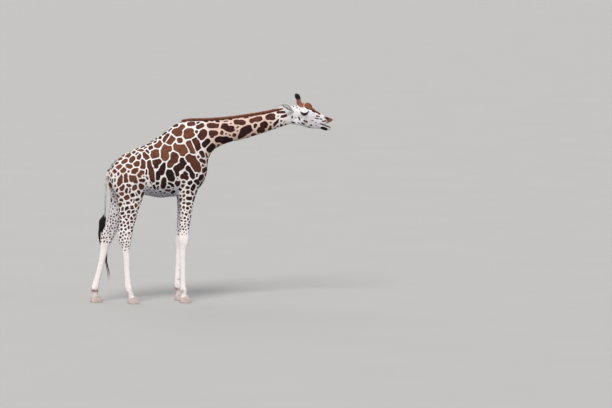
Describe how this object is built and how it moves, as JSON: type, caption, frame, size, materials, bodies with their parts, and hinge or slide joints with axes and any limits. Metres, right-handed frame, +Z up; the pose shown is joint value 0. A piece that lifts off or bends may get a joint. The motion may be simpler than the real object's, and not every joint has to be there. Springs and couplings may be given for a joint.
{
  "type": "giraffe",
  "caption": "Life-size standing giraffe with patched coat, neck stretched out level, skin-covered ossicones, upright mane and tasselled tail.",
  "frame": {"origin": "on the floor, under the middle of the box round the whole animal", "axes": "+X forwards towards the muzzle, +Y to the animal's left, +Z up"},
  "size_m": [3.3004, 0.5698, 2.7987],
  "materials": {
    "coat": "short hair, chestnut patches on cream",
    "horn_skin": "short hair, brown with a black tip",
    "tassel": "long coarse black hair",
    "eye": "wet, nearly black",
    "tongue": "moist, bluish black",
    "hoof": "satin horn, dusty"
  },
  "bodies": {
    "root": {"torso": "coat", "neck_lower": "coat", "neck_upper": "coat", "head": "coat", "tail": "coat", "tail_tassel": "tassel", "leg_fore_right": "coat", "leg_fore_left": "coat", "leg_hind_right": "coat", "leg_hind_left": "coat", "tongue": "tongue", "ear_right": "coat", "ear_left": "coat", "ossicone_right": "horn_skin", "ossicone_left": "horn_skin", "eye_right": "eye", "eye_left": "eye", "hoof_fore_right_inner": "hoof", "hoof_fore_right_outer": "hoof", "hoof_fore_left_inner": "hoof", "hoof_fore_left_outer": "hoof", "hoof_hind_right_inner": "hoof", "hoof_hind_right_outer": "hoof", "hoof_hind_left_inner": "hoof", "hoof_hind_left_outer": "hoof"}
  },
  "joints": []
}
